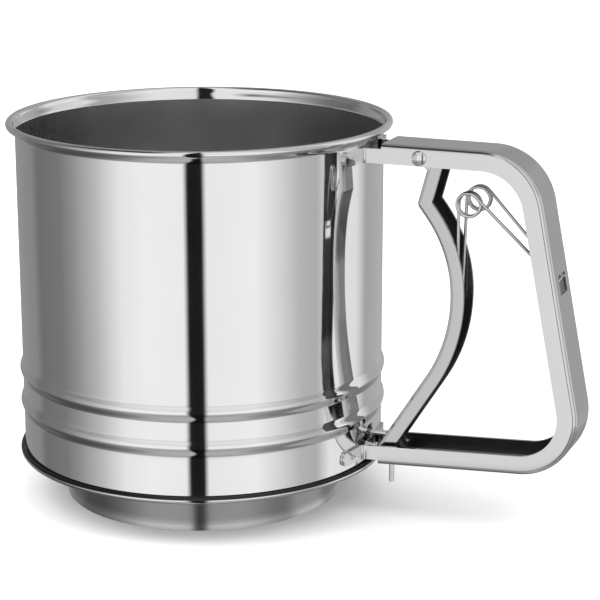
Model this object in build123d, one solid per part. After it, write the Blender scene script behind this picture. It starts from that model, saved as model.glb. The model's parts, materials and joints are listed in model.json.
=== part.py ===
from build123d import *
import math
import os

# Flour sifter with a squeeze handle, in millimetres.
# The origin is on the cup's axis at the floor, +Z is up and the handle points along +X.

# Cup: a straight deep-drawn wall with a rolled rim and two pressed stiffening ridges.
cup_outer_radius = 51.0
cup_sheet = 0.5
cup_height = 107.2
rim_overhang = 2.5
rim_curl_radius = 1.0
rim_flare_height = 2.6
rim_slit_degrees = 35.0
ridge_heights = (27.7, 37.2)
ridge_tall = 5.2
ridge_proud = 0.8

# Base pan: floor ring and foot in one pressing, seamed round the bottom of the cup.
foot_outer_radius = 39.3
foot_taper = 1.2
foot_lip_height = 2.5
pan_sheet = 0.5
pan_floor_height = 12.3
seam_overhang = 1.3
seam_flange_thick = 0.9
seam_gap = 0.05
foot_shoulder_fillet = 0.9

# Sieve: woven mesh disc, held down at its rim and carried in the middle by a bar.
mesh_overlap = 3.0
mesh_thick = 0.4
clamp_ring_width = 3.0
clamp_ring_inset = 1.0
clamp_ring_sheet = 0.6
bar_width = 9.0
bar_thick = 0.8
bar_end_drop = 6.5

# Handle: a folded U channel, bent to a D and spot welded to the cup by four ears.
channel_width = 14.5
channel_depth = 5.3
channel_sheet = 0.8
channel_bend = 1.4
handle_below_rim = 2.7
handle_top_reach = 46.7
handle_low_reach = 63.7
handle_low_height = 18.4
handle_low_slope_degrees = 3.35
handle_top_radius = 17.0
handle_low_radius = 16.3
handle_web_gap = 5.0
ear_length = 8.5
ear_fold_radius = 1.1
ear_corner_radius = 1.6
spring_window_tall = 5.2
spring_window_wide = 6.4

# Trigger: a narrower folded channel, its web towards the cup.
trigger_width = 9.4
trigger_depth = 4.0
trigger_sheet = 0.8
trigger_bend = 1.2
trigger_reach = 23.9
trigger_kink_reach = 14.2
trigger_kink_drop = 16.2
trigger_kink_radius = 1.5
trigger_upper_drop = 29.1
trigger_upper_radius = 35.0
trigger_lower_drop = 53.3
trigger_lower_radius = 42.0
trigger_upper_degrees = 15.1
trigger_tip_above_web = 3.0
trigger_tip_before_pin = 3.2
trigger_top_drop = 2.1
ear_disc_radius = 2.0
foot_tab_length = 6.4
foot_tab_half_width = 3.3
foot_tab_hole_clearance = 0.45
trigger_travel_degrees = 14.0

# Pivot rivet of the trigger.
pivot_reach = 15.6
pivot_drop = 3.1
rivet_shank_radius = 1.0
rivet_head_radius = 2.05
rivet_head_tall = 0.9
rivet_crown_share = 0.6
running_clearance = 0.05
washer_radius = 1.9
axial_gap = 0.15

# Link wire from the trigger's foot through the cup wall to the agitator.
wire_radius = 0.75
link_pin_reach = 6.6
link_pin_below_web = 7.0
link_above_tip = 2.9
link_wall_margin = 1.5
link_hook_offset = 20.8
link_hook_depth = 6.9
link_bend_radius = 1.8
link_side_bend_radius = 6.0
wall_window_clearance = 1.35
wall_window_corner = 1.2
web_notch_clearance = 1.05
guide_slot_clearance = 0.35

# Agitator: a stamped cross with four blades, on a bush that turns on the centre rivet.
centre_rivet_radius = 1.5
centre_head_radius = 3.2
centre_head_tall = 1.2
centre_crown_share = 0.7
mesh_washer_radius = 6.0
mesh_washer_thick = 0.6
bush_radius = 4.0
bush_shoulder_radius = 6.5
bush_shoulder_tall = 2.2
bush_tall = 4.9
plate_thick = 1.0
plate_centre_radius = 9.0
arm_count = 4
arm_short_of_blade = 3.5
arm_width = 6.0
lever_width = 9.0
lever_end_margin = 3.9
lever_slot_play = 0.6
lever_slot_end_play = 0.8
blade_inner_radius = 8.5
blade_ring_gap = 2.0
blade_sheet = 0.6
blade_flange = 3.6
blade_mesh_gap = 0.5
top_washer_radius = 3.5
top_washer_thick = 0.5
top_head_radius = 2.6
top_head_tall = 0.85

# Trigger spring: double torsion, its middle loop caught in the grip's window.
spring_wire_radius = 0.45
spring_coil_radius = 3.15
spring_coil_reach = 28.9
spring_coil_drop = 14.9
spring_coil_beside_trigger = 0.7
spring_coil_turns = 2
spring_coil_gap = 0.1
spring_coil_corners = 8
spring_bend_share = 0.85
spring_loop_bend = 1.0
spring_loop_half_width = 2.3
spring_leg_degrees = 45.0
spring_leg_drop = 43.0
spring_leg_inset = 1.05
spring_leg_gap = 0.1

# Worked out from the sizes above.
cup_inner_radius = cup_outer_radius - cup_sheet
rim_centre_height = cup_height - rim_curl_radius
rim_centre_radius = cup_outer_radius + rim_overhang - rim_curl_radius
seam_outer_radius = cup_outer_radius + seam_overhang
foot_top_radius = foot_outer_radius + foot_taper
pan_top = pan_floor_height + pan_sheet
seam_top = pan_top + seam_flange_thick + pan_sheet
mesh_top = pan_top + mesh_thick
mesh_radius = foot_top_radius + mesh_overlap
clamp_ring_inner_radius = foot_top_radius + clamp_ring_inset
clamp_ring_outer_radius = clamp_ring_inner_radius + clamp_ring_width
channel_half = channel_width / 2
trigger_half = trigger_width / 2
trigger_inner_half = trigger_half - trigger_sheet
handle_top = cup_height - handle_below_rim
handle_reach = cup_outer_radius + handle_top_reach
handle_low_corner = (cup_outer_radius + handle_low_reach, handle_low_height)
handle_web_end = cup_outer_radius + handle_web_gap
pivot_x = cup_outer_radius + pivot_reach
pivot_z = handle_top - pivot_drop
trigger_front = cup_outer_radius + trigger_reach
link_pin_x = cup_outer_radius + link_pin_reach
bush_bottom = mesh_top + mesh_washer_thick + axial_gap
plate_bottom = bush_bottom + bush_shoulder_tall
bush_top = bush_bottom + bush_tall
blade_outer_radius = clamp_ring_inner_radius - blade_ring_gap
arm_length = blade_outer_radius - arm_short_of_blade


def lower_web_height(x):
    """Underside of the handle's lower arm."""
    corner_x, corner_z = handle_low_corner
    return corner_z - (corner_x - x) * math.tan(math.radians(handle_low_slope_degrees))


trigger_tip_height = lower_web_height(link_pin_x) + channel_sheet + trigger_tip_above_web
link_height = trigger_tip_height + link_above_tip
link_travel = (pivot_z - trigger_tip_height) * math.sin(math.radians(trigger_travel_degrees))
link_bend_x = cup_inner_radius - link_travel - link_wall_margin
link_hook_x = -link_travel / 2
link_hook_y = -link_hook_offset
link_hook_radius = math.hypot(link_hook_x, link_hook_y)
lever_angle = math.degrees(math.atan2(link_hook_y, link_hook_x))


def ring_profile(points, radii=()):
    """A closed outline in the XZ half plane, with some corners rounded."""
    outline = make_face(Plane.XZ * Polyline(*points, close=True))
    for (x, z), radius in radii:
        corner = outline.vertices().sort_by_distance(Vector(x, 0, z))[0]
        outline = fillet(corner, radius)
    return outline


def lathe(outline):
    return revolve(outline, Axis.Z, 360)


def disc(radius, bottom, tall, hole=0.0):
    """A washer or plain disc about the cup's axis."""
    body = Pos(0, 0, bottom) * extrude(Circle(radius), tall)
    if hole > 0:
        body -= Pos(0, 0, bottom) * extrude(Circle(hole), tall)
    return body


def cross_rod(radius, x, z, half_length):
    """A round bar along Y."""
    return extrude(Plane.XZ * Pos(x, z) * Circle(radius), half_length, both=True)


def shifted_corners(corners, distance):
    """Move every run of a chain sideways to the right of travel."""
    moved = []
    runs = []
    for start, end in zip(corners[:-1], corners[1:]):
        length = math.dist(start, end)
        along = ((end[0] - start[0]) / length, (end[1] - start[1]) / length)
        side = (along[1] * distance, -along[0] * distance)
        runs.append(((start[0] + side[0], start[1] + side[1]), along))
    moved.append(runs[0][0])
    for (first, along_1), (second, along_2) in zip(runs[:-1], runs[1:]):
        turn = along_1[0] * along_2[1] - along_1[1] * along_2[0]
        gap = (second[0] - first[0], second[1] - first[1])
        reach = (gap[0] * along_2[1] - gap[1] * along_2[0]) / turn
        moved.append((first[0] + along_1[0] * reach, first[1] + along_1[1] * reach))
    last_point, last_along = corners[-1], runs[-1][1]
    moved.append((last_point[0] + last_along[1] * distance, last_point[1] - last_along[0] * distance))
    return moved


def shifted_radii(corners, radii, distance):
    """Bends stay concentric, down to a small least radius."""
    least_radius = 0.3
    moved = []
    for before, at, after, radius in zip(corners, corners[1:], corners[2:], radii):
        turn = (at[0] - before[0]) * (after[1] - at[1]) - (at[1] - before[1]) * (after[0] - at[0])
        moved.append(max(radius + distance * math.copysign(1, turn), least_radius))
    return moved


def chain(corners, radii, distance):
    """Straight runs joined by tangent arcs, a distance to the right of the corners."""
    points = [(x, 0, z) for x, z in shifted_corners(corners, distance)]
    return FilletPolyline(*points, radius=shifted_radii(corners, radii, distance))


def band(corners, radii, near, far):
    """The face between two parallel chains."""
    inner = chain(corners, radii, near)
    outer = chain(corners, radii, far)
    first_end = Line(inner @ 0, outer @ 0)
    last_end = Line(inner @ 1, outer @ 1)
    return make_face([*inner.edges(), *outer.edges(), first_end.edge(), last_end.edge()])


def round_web(solid, web_chain, half_width, radius):
    """Round the two long corners where the web meets the flanges."""
    side_tolerance = 1e-4
    web_tolerance = 1e-3
    corners = []
    for edge in solid.edges():
        middle = edge @ 0.5
        at_side = abs(abs(middle.Y) - half_width) < side_tolerance
        start_on_side = abs(abs((edge @ 0).Y) - half_width) < side_tolerance
        on_web = web_chain.distance_to(Vertex(middle.X, 0, middle.Z)) < web_tolerance
        if at_side and start_on_side and on_web:
            corners.append(edge)
    return fillet(corners, radius)


def channel(corners, radii, depth, width, sheet, bend):
    """A folded U section: the web follows the corners, the flanges stand to their right."""
    over_cut = 1.0
    blank = extrude(band(corners, radii, 0, depth), width / 2, both=True)
    blank = round_web(blank, chain(corners, radii, 0), width / 2, bend)
    hollow_half = width / 2 - sheet
    hollow = extrude(band(corners, radii, sheet, depth + over_cut), hollow_half, both=True)
    hollow = round_web(hollow, chain(corners, radii, sheet), hollow_half, bend - sheet)
    return blank - hollow


def ridge_arcs(surface_radius):
    """Half-round swellings of one face of the wall, from the bottom one up."""
    arcs = []
    for middle in ridge_heights:
        low = (surface_radius, 0, middle - ridge_tall / 2)
        crest = (surface_radius + ridge_proud, 0, middle)
        high = (surface_radius, 0, middle + ridge_tall / 2)
        arcs.append(ThreePointArc(low, crest, high))
    return arcs


def wall_face(surface_radius, bottom, top):
    """One face of the cup's wall as a chain of lines and ridge arcs, going up."""
    edges = []
    here = Vector(surface_radius, 0, bottom)
    for arc in ridge_arcs(surface_radius):
        edges.append(Line(here, arc @ 0))
        edges.append(arc)
        here = arc @ 1
    edges.append(Line(here, (surface_radius, 0, top)))
    return edges


def make_cup_body():
    flare_start = rim_centre_height - rim_flare_height
    curl_left = rim_centre_radius - rim_curl_radius
    seam_radius = seam_outer_radius - pan_sheet - seam_gap
    flange_top = pan_top + seam_flange_thick
    inside = wall_face(cup_inner_radius, pan_top, flare_start)
    outside = wall_face(cup_outer_radius, flange_top, flare_start)
    rim_inside = (curl_left, 0, rim_centre_height)
    rim_outside = (curl_left + cup_sheet, 0, rim_centre_height)
    wall_edges = [
        *inside,
        Line(inside[-1] @ 1, rim_inside),
        Line(rim_inside, rim_outside),
        Line(rim_outside, outside[-1] @ 1),
        *outside,
        Line((cup_inner_radius, 0, pan_top), (seam_radius, 0, pan_top)),
        Line((seam_radius, 0, pan_top), (seam_radius, 0, flange_top)),
        Line((seam_radius, 0, flange_top), (cup_outer_radius, 0, flange_top)),
    ]
    wall = make_face([edge.edge() for edge in wall_edges])
    curl_place = Plane.XZ * Pos(rim_centre_radius, rim_centre_height)
    curl = curl_place * (Circle(rim_curl_radius) - Circle(rim_curl_radius - cup_sheet))
    slit_start = math.radians(180)
    slit_end = math.radians(180 + rim_slit_degrees)
    slit_reach = 2 * rim_curl_radius
    slit_corners = [(0, 0)]
    for angle in (slit_start, slit_end):
        slit_corners.append((slit_reach * math.cos(angle), slit_reach * math.sin(angle)))
    curl -= curl_place * make_face(Polyline(*slit_corners, close=True))
    body = lathe(wall) + lathe(curl)
    window = wire_radius + wall_window_clearance
    opening = Plane.YZ * Pos(0, link_height) * RectangleRounded(2 * window, 2 * window, wall_window_corner)
    return body - Pos(cup_inner_radius - cup_sheet, 0, 0) * extrude(opening, 3 * cup_sheet)


def make_base_pan():
    foot_inner = foot_outer_radius - pan_sheet
    top_inner = foot_top_radius - pan_sheet
    wrap_inner = seam_outer_radius - pan_sheet
    lip_inner = cup_outer_radius + seam_gap
    lip_bottom = seam_top - pan_sheet
    points = [
        (foot_outer_radius, 0),
        (foot_outer_radius, foot_lip_height),
        (foot_top_radius, pan_floor_height),
        (seam_outer_radius, pan_floor_height),
        (seam_outer_radius, seam_top),
        (lip_inner, seam_top),
        (lip_inner, lip_bottom),
        (wrap_inner, lip_bottom),
        (wrap_inner, pan_top),
        (top_inner, pan_top),
        (foot_inner, foot_lip_height),
        (foot_inner, 0),
    ]
    bead_fillet = pan_sheet + seam_gap
    rounded = [
        ((foot_top_radius, pan_floor_height), foot_shoulder_fillet),
        ((top_inner, pan_top), foot_shoulder_fillet + pan_sheet),
        ((seam_outer_radius, pan_floor_height), bead_fillet),
        ((seam_outer_radius, seam_top), bead_fillet),
    ]
    return lathe(ring_profile(points, rounded))


def foot_bore_radius(height):
    """Inner radius of the foot at a height, on the tapered stretch."""
    lower = foot_outer_radius - pan_sheet
    upper = foot_top_radius - pan_sheet
    share = (height - foot_lip_height) / (pan_top - foot_lip_height)
    return lower + (upper - lower) * share


def make_support_bar():
    """A strap across the foot, its ends turned down and spot welded inside the foot."""
    bar_bottom = pan_top - bar_thick
    end_bottom = pan_top - bar_end_drop
    shoulder = foot_shoulder_fillet + 2 * pan_sheet
    top_radius = foot_bore_radius(pan_top)
    low_radius = foot_bore_radius(end_bottom)
    points = [
        (0, pan_top),
        (top_radius - shoulder, pan_top),
        (foot_bore_radius(pan_top - shoulder), pan_top - shoulder),
        (low_radius, end_bottom),
        (low_radius - bar_thick, end_bottom),
        (foot_bore_radius(bar_bottom - shoulder) - bar_thick, bar_bottom - shoulder),
        (top_radius - shoulder - bar_thick, bar_bottom),
        (0, bar_bottom),
    ]
    dish = lathe(ring_profile(points))
    strap = dish & Pos(0, 0, bar_bottom) * Box(bar_width, 2 * cup_outer_radius, 4 * bar_end_drop)
    return strap - disc(centre_rivet_radius, bar_bottom, bar_thick)


def make_sieve_mesh():
    return disc(mesh_radius, pan_top, mesh_thick, centre_rivet_radius)


def make_mesh_clamp_ring():
    """A turned ring that presses the rim of the mesh on the pan's floor."""
    top = mesh_top + clamp_ring_sheet
    step = mesh_radius + seam_gap
    points = [
        (clamp_ring_inner_radius, mesh_top),
        (step, mesh_top),
        (step, pan_top),
        (clamp_ring_outer_radius, pan_top),
        (clamp_ring_outer_radius, top),
        (clamp_ring_inner_radius, top),
    ]
    return lathe(ring_profile(points, [((clamp_ring_outer_radius, top), clamp_ring_sheet / 2)]))


def handle_corners():
    slope = math.tan(math.radians(handle_low_slope_degrees))
    corner_x, corner_z = handle_low_corner
    start_x = cup_outer_radius - 2 * channel_depth
    low_start = (start_x, corner_z - (corner_x - start_x) * slope)
    return [(start_x, handle_top), (handle_reach, handle_top), handle_low_corner, low_start]


def make_handle_fold(side):
    """The end of one flange, folded outward against the wall of the cup."""
    wall = cup_outer_radius
    outer = wall + channel_sheet
    flange_in = channel_half - channel_sheet
    ear_end = channel_half + ear_length
    shell = Circle(outer) - Circle(wall)
    ear = shell & Pos(wall, (flange_in + ear_end) / 2) * Rectangle(wall, ear_end - flange_in)
    flange_x = math.sqrt(wall**2 - flange_in**2)
    flange_run = handle_web_end + channel_bend - flange_x
    flange = Pos(flange_x + flange_run / 2, channel_half - channel_sheet / 2)
    profile = ear + flange * Rectangle(flange_run, channel_sheet)
    profile -= Circle(wall)
    crease_x = math.sqrt(outer**2 - channel_half**2)
    crease = profile.vertices().sort_by_distance(Vector(crease_x, channel_half, 0))[0]
    profile = fillet(crease, ear_fold_radius)
    if side < 0:
        profile = mirror(profile, Plane.XZ)
    return extrude(profile, 2 * handle_top)


def rounded_ears(low, high):
    """Everything between the ears, and the ears of one arm with rounded corners."""
    ear_end = channel_half + ear_length
    between = Rectangle(2 * (ear_end - ear_corner_radius), 4 * handle_top)
    ears = Pos(0, (low + high) / 2) * RectangleRounded(2 * ear_end, high - low, ear_corner_radius)
    return extrude(Plane.YZ * (between + ears), 2 * cup_outer_radius)


def make_handle():
    corners = handle_corners()
    radii = [handle_top_radius, handle_low_radius]
    body = channel(corners, radii, channel_depth, channel_width, channel_sheet, channel_bend)
    beyond_web = Pos(handle_web_end - cup_outer_radius, 0, 0) * Box(
        2 * cup_outer_radius, 2 * channel_width, 3 * handle_top
    )
    body -= beyond_web
    half_across_ears = channel_half + 2 * ear_length
    outline = extrude(band(corners, radii, channel_bend, channel_depth), half_across_ears, both=True)
    low = lower_web_height(cup_outer_radius)
    ears = rounded_ears(low + channel_bend, low + channel_depth)
    ears += rounded_ears(handle_top - channel_depth, handle_top - channel_bend)
    for side in (-1, 1):
        body += make_handle_fold(side) & outline & ears
    window = Pos(handle_low_corner[0], 0, spring_loop_point()[1]) * Box(
        2 * (handle_low_corner[0] - handle_reach) + channel_depth, spring_window_wide, spring_window_tall
    )
    body -= window
    body -= make_guide_slot()
    return body - cross_rod(rivet_shank_radius, pivot_x, pivot_z, channel_width)


def make_guide_slot():
    """The slot along the lower arm that steers the link's pin."""
    half = wire_radius + guide_slot_clearance
    start = link_pin_x - guide_slot_clearance
    end = link_pin_x + link_travel + guide_slot_clearance
    centre = (start + end) / 2
    slot = Pos(centre, 0) * SlotCenterToCenter(end - start, 2 * half)
    return extrude(slot, lower_web_height(end) + 2 * channel_sheet)


def trigger_corners():
    """From the tip up to the pivot, along the face that looks at the cup."""
    tip = (link_pin_x - trigger_tip_before_pin, trigger_tip_height)
    lower = (trigger_front, handle_top - trigger_lower_drop)
    upper = (trigger_front, handle_top - trigger_upper_drop)
    kink = (cup_outer_radius + trigger_kink_reach, handle_top - trigger_kink_drop)
    top_z = pivot_z - trigger_top_drop
    top_x = kink[0] + (top_z - kink[1]) * math.tan(math.radians(trigger_upper_degrees))
    return [tip, lower, upper, kink, (top_x, top_z)]


def make_trigger():
    corners = trigger_corners()
    radii = [trigger_lower_radius, trigger_upper_radius, trigger_kink_radius]
    body = channel(corners, radii, trigger_depth, trigger_width, trigger_sheet, trigger_bend)
    top_x, top_z = corners[-1]
    ear = Pos(pivot_x, pivot_z) * Circle(ear_disc_radius)
    neck = [
        (pivot_x - ear_disc_radius, pivot_z),
        (top_x - trigger_bend / 2, top_z - 2 * trigger_bend),
        (top_x + trigger_depth - trigger_bend, top_z - 2 * trigger_bend),
        (top_x + trigger_depth - trigger_bend, top_z - trigger_bend / 2),
        (pivot_x + ear_disc_radius, pivot_z),
    ]
    ear += make_face(Polyline(*neck, close=True))
    ears = extrude(Plane.XZ * ear, trigger_half, both=True)
    ears -= Box(4 * cup_outer_radius, trigger_width - 2 * trigger_sheet, 4 * cup_height)
    body += ears
    below_tip = Box(4 * trigger_depth, 2 * trigger_width, 2 * trigger_depth)
    body -= Pos(link_pin_x, 0, trigger_tip_height - trigger_depth) * below_tip
    body += make_foot_tab()
    shank_hole = rivet_shank_radius + running_clearance
    body -= cross_rod(shank_hole, pivot_x, pivot_z, trigger_width)
    hole = wire_radius + foot_tab_hole_clearance
    body -= Pos(link_pin_x, 0, 0) * extrude(Circle(hole), trigger_tip_height + 2 * trigger_sheet)
    notch_half = wire_radius + web_notch_clearance
    notch = Box(2 * trigger_depth, 2 * hole, 2 * notch_half)
    return body - Pos(link_pin_x - trigger_depth, 0, link_height) * notch


def make_foot_tab():
    """A tab turned out of the web's lower end, which carries the link's pin."""
    tip_x = trigger_corners()[0][0]
    tab = Pos(tip_x + trigger_sheet + foot_tab_length / 2, 0, trigger_tip_height + trigger_sheet / 2)
    blank = Box(foot_tab_length, 2 * foot_tab_half_width, trigger_sheet)
    return tab * blank


def make_trigger_rivet():
    """A shank through the channel with a low dome on each end."""
    body = cross_rod(rivet_shank_radius, pivot_x, pivot_z, channel_half)
    for side in (-1, 1):
        face = Plane(origin=(pivot_x, side * channel_half, pivot_z), z_dir=(0, side, 0))
        head = extrude(face * Circle(rivet_head_radius), rivet_head_tall)
        crown = head.edges().sort_by(Axis.Y)[-1 if side > 0 else 0]
        body += fillet(crown, rivet_head_tall * rivet_crown_share)
    return body


def make_pivot_washers():
    """Spacers that centre the trigger in the handle, one each side."""
    thick = channel_half - channel_sheet - trigger_half - axial_gap
    washers = []
    for side in (-1, 1):
        face = Plane(
            origin=(pivot_x, side * (channel_half - channel_sheet), pivot_z), z_dir=(0, -side, 0)
        )
        ring = Circle(washer_radius) - Circle(rivet_shank_radius)
        washers.append(extrude(face * ring, thick))
    return Compound(children=washers)


def make_link_rod():
    points = [
        (link_pin_x, 0, lower_web_height(link_pin_x) - link_pin_below_web),
        (link_pin_x, 0, link_height),
        (link_bend_x, 0, link_height),
        (link_hook_x, link_hook_y, link_height),
        (link_hook_x, link_hook_y, link_height - link_hook_depth),
    ]
    path = FilletPolyline(*points, radius=[link_bend_radius, link_side_bend_radius, link_bend_radius])
    return sweep(Plane(origin=points[0], z_dir=(0, 0, 1)) * Circle(wire_radius), path)


def make_centre_rivet():
    """Holds bar, mesh, washer and bush together on the cup's axis."""
    bar_bottom = pan_top - bar_thick
    washer_top = bush_top + axial_gap + top_washer_thick
    body = disc(centre_rivet_radius, bar_bottom, washer_top - bar_bottom)
    low_head = disc(centre_head_radius, bar_bottom - centre_head_tall, centre_head_tall)
    low_head = fillet(low_head.edges().sort_by(Axis.Z)[0], centre_head_tall * centre_crown_share)
    top_head = disc(top_head_radius, washer_top, top_head_tall)
    top_head = fillet(top_head.edges().sort_by(Axis.Z)[-1], top_head_tall * centre_crown_share)
    return body + low_head + top_head


def make_mesh_washer():
    return disc(mesh_washer_radius, mesh_top, mesh_washer_thick, centre_rivet_radius)


def make_top_washer():
    return disc(top_washer_radius, bush_top + axial_gap, top_washer_thick, centre_rivet_radius)


def make_agitator_bush():
    bore = centre_rivet_radius + running_clearance
    shoulder = disc(bush_shoulder_radius, bush_bottom, bush_shoulder_tall)
    return shoulder + disc(bush_radius, bush_bottom, bush_tall) - disc(bore, bush_bottom, bush_tall)


def make_agitator_plate():
    """A cross of arms with a slotted lever for the link between two of them."""
    outline = Circle(plate_centre_radius)
    for number in range(arm_count):
        turn = lever_angle + (number + 0.5) * 360 / arm_count
        arm = Pos(arm_length / 2, 0) * Rectangle(arm_length, arm_width)
        outline += Rot(0, 0, turn) * arm
        outline += Rot(0, 0, turn) * Pos(arm_length, 0) * Circle(arm_width / 2)
    lever_straight = link_hook_radius + lever_end_margin - lever_width / 2
    lever = Pos(lever_straight / 2, 0) * Rectangle(lever_straight, lever_width)
    lever += Pos(lever_straight, 0) * Circle(lever_width / 2)
    near = link_hook_offset
    far = link_hook_radius
    slot_length = far - near + 2 * lever_slot_end_play
    slot_half = wire_radius + lever_slot_play
    lever -= Pos((near + far) / 2, 0) * SlotCenterToCenter(slot_length, 2 * slot_half)
    centre_hole = Circle(bush_radius)
    outline = outline + Rot(0, 0, lever_angle) * lever - centre_hole
    return Pos(0, 0, plate_bottom) * extrude(outline, plate_thick)


def make_blade(number):
    """An angle strip welded under one arm, its edge just clear of the mesh."""
    blade_bottom = mesh_top + blade_mesh_gap
    run = blade_outer_radius - blade_inner_radius
    flange = Box(run, blade_flange, blade_sheet)
    leg = Box(run, blade_sheet, plate_bottom - blade_bottom)
    middle = (blade_outer_radius + blade_inner_radius) / 2
    flange_z = plate_bottom - blade_sheet / 2
    leg_y = (blade_sheet - blade_flange) / 2
    body = Pos(middle, 0, flange_z) * flange
    body += Pos(middle, leg_y, (plate_bottom + blade_bottom) / 2) * leg
    turn = lever_angle + (number + 0.5) * 360 / arm_count
    return Rot(0, 0, turn) * body


def spring_tangent_point():
    """Where the leg to the grip leaves the coil."""
    leg_turn = math.radians(spring_leg_degrees)
    x = cup_outer_radius + spring_coil_reach + spring_coil_radius * math.cos(leg_turn)
    z = handle_top - spring_coil_drop + spring_coil_radius * math.sin(leg_turn)
    return x, z


def spring_loop_point():
    """Where the line of the leg meets the middle of the grip's sheet."""
    start_x, start_z = spring_tangent_point()
    leg_fall = 1 / math.tan(math.radians(spring_leg_degrees))
    grip_lean = (handle_low_corner[0] - handle_reach) / (handle_top - handle_low_height)
    grip_x = handle_reach - channel_sheet / 2 + (handle_top - start_z) * grip_lean
    run = (grip_x - start_x) / (1 - grip_lean * leg_fall)
    return start_x + run, start_z - run * leg_fall


def spring_half(side):
    """Corners of the wire from the trigger leg round one coil to the loop."""
    step = 360 / spring_coil_corners
    wrap = 360 * spring_coil_turns + 180 - spring_leg_degrees
    pitch = 2 * spring_wire_radius + spring_coil_gap
    corner_radius = spring_coil_radius / math.cos(math.radians(step / 2))
    coil_x = cup_outer_radius + spring_coil_reach
    coil_z = handle_top - spring_coil_drop
    inner = trigger_inner_half + spring_coil_beside_trigger - pitch * wrap / 360 / 2
    leg_x = trigger_front + trigger_sheet + spring_wire_radius + spring_leg_gap
    leg_y = trigger_inner_half - spring_wire_radius - spring_leg_inset
    points = [(leg_x, side * leg_y, handle_top - spring_leg_drop)]
    for number in range(round(wrap / step)):
        turned = (number + 0.5) * step
        angle = math.radians(180 - turned)
        x = coil_x + corner_radius * math.cos(angle)
        z = coil_z + corner_radius * math.sin(angle)
        points.append((x, side * (inner + pitch * turned / 360), z))
    loop_x, loop_z = spring_loop_point()
    points.append((loop_x, side * spring_loop_half_width, loop_z))
    return points


def make_trigger_spring():
    """One wire: trigger leg, coil, grip leg, loop, grip leg, coil, trigger leg."""
    points = spring_half(-1) + spring_half(1)[::-1]
    coil_corners = len(points) // 2 - 2
    coil_bends = [spring_coil_radius * spring_bend_share] * coil_corners
    radii = [*coil_bends, spring_loop_bend, spring_loop_bend, *coil_bends]
    path = FilletPolyline(*points, radius=radii)
    section = Plane(origin=points[0], z_dir=path % 0) * Circle(spring_wire_radius)
    return sweep(section, path)


parts = {
    "cup_body": make_cup_body(),
    "base_pan": make_base_pan(),
    "support_bar": make_support_bar(),
    "sieve_mesh": make_sieve_mesh(),
    "mesh_clamp_ring": make_mesh_clamp_ring(),
    "mesh_washer": make_mesh_washer(),
    "centre_rivet": make_centre_rivet(),
    "top_washer": make_top_washer(),
    "agitator_bush": make_agitator_bush(),
    "agitator_plate": make_agitator_plate(),
    "handle": make_handle(),
    "trigger": make_trigger(),
    "trigger_rivet": make_trigger_rivet(),
    "pivot_washers": make_pivot_washers(),
    "trigger_spring": make_trigger_spring(),
    "link_rod": make_link_rod(),
}
for number in range(arm_count):
    parts[f"agitator_blade_{number + 1}"] = make_blade(number)

os.makedirs("parts", exist_ok=True)
for name, shape in parts.items():
    export_step(shape, f"parts/{name}.step")
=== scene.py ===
import json
import math

import bmesh
import bpy
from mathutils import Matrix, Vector


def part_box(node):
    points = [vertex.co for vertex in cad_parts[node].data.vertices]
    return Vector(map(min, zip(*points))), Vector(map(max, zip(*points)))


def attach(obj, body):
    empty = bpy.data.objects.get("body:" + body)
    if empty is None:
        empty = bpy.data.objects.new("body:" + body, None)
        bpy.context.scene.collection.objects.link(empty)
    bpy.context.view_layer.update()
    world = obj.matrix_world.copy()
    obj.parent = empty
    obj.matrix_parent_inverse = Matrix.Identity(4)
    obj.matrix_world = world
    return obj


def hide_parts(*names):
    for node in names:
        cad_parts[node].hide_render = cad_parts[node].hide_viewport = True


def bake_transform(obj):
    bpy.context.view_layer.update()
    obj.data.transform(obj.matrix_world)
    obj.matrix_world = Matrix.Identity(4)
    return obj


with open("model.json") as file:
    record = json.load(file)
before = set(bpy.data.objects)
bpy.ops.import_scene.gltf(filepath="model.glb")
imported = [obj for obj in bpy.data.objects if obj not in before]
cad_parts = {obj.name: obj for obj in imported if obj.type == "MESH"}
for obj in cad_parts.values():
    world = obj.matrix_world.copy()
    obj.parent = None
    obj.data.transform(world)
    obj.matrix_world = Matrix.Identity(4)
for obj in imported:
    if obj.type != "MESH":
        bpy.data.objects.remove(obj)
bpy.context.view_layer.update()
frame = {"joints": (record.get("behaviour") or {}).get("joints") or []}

MM = 0.001

# Cup wall: one deep-drawn stainless sheet, mirror polished, with two ridges rolled in above the
# seam, a flare at the mouth and a curled rim. A small window lets the link wire through.
cup_low, cup_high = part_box("cup_body")
pan_low, pan_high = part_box("base_pan")
cup_sheet = 0.5 * MM
rim_curl_radius = 1.0 * MM
rim_overhang = 2.5 * MM
rim_flare_height = 2.6 * MM
cup_radius = cup_high.y - rim_overhang
wall_middle = cup_radius - cup_sheet / 2
rim_centre = (cup_high.y - rim_curl_radius, cup_high.z - rim_curl_radius)
ridge_heights = (27.7 * MM, 37.2 * MM)
ridge_tall = 5.2 * MM
ridge_proud = 0.8 * MM
link_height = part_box("link_rod")[1].z - 0.75 * MM
window_half = 2.1 * MM
window_corner = 1.2 * MM
around = 288


def mesh_piece(name, mesh_data, material, body, nodes=()):
    """Links a finished bmesh as a smooth piece that rides on its body."""
    mesh = bpy.data.meshes.new(name)
    mesh_data.to_mesh(mesh)
    mesh_data.free()
    mesh.shade_smooth()
    piece = bpy.data.objects.new(name, mesh)
    bpy.context.scene.collection.objects.link(piece)
    mesh.materials.append(material)
    if body:
        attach(piece, body)
    if nodes:
        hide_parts(*nodes)
    return piece


def give_thickness(piece, sheet, rounding, inside=None):
    """Sheet metal from a middle surface, with broken edges and its own material inside: a satin finish, or the painted
    shade inside a fold.
    """
    solidify = piece.modifiers.new("sheet", "SOLIDIFY")
    solidify.thickness = sheet
    solidify.offset = 0
    solidify.use_even_offset = True
    if inside:
        piece.data.materials.append(inside)
        solidify.material_offset = 1
    break_edges(piece, rounding)


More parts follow.
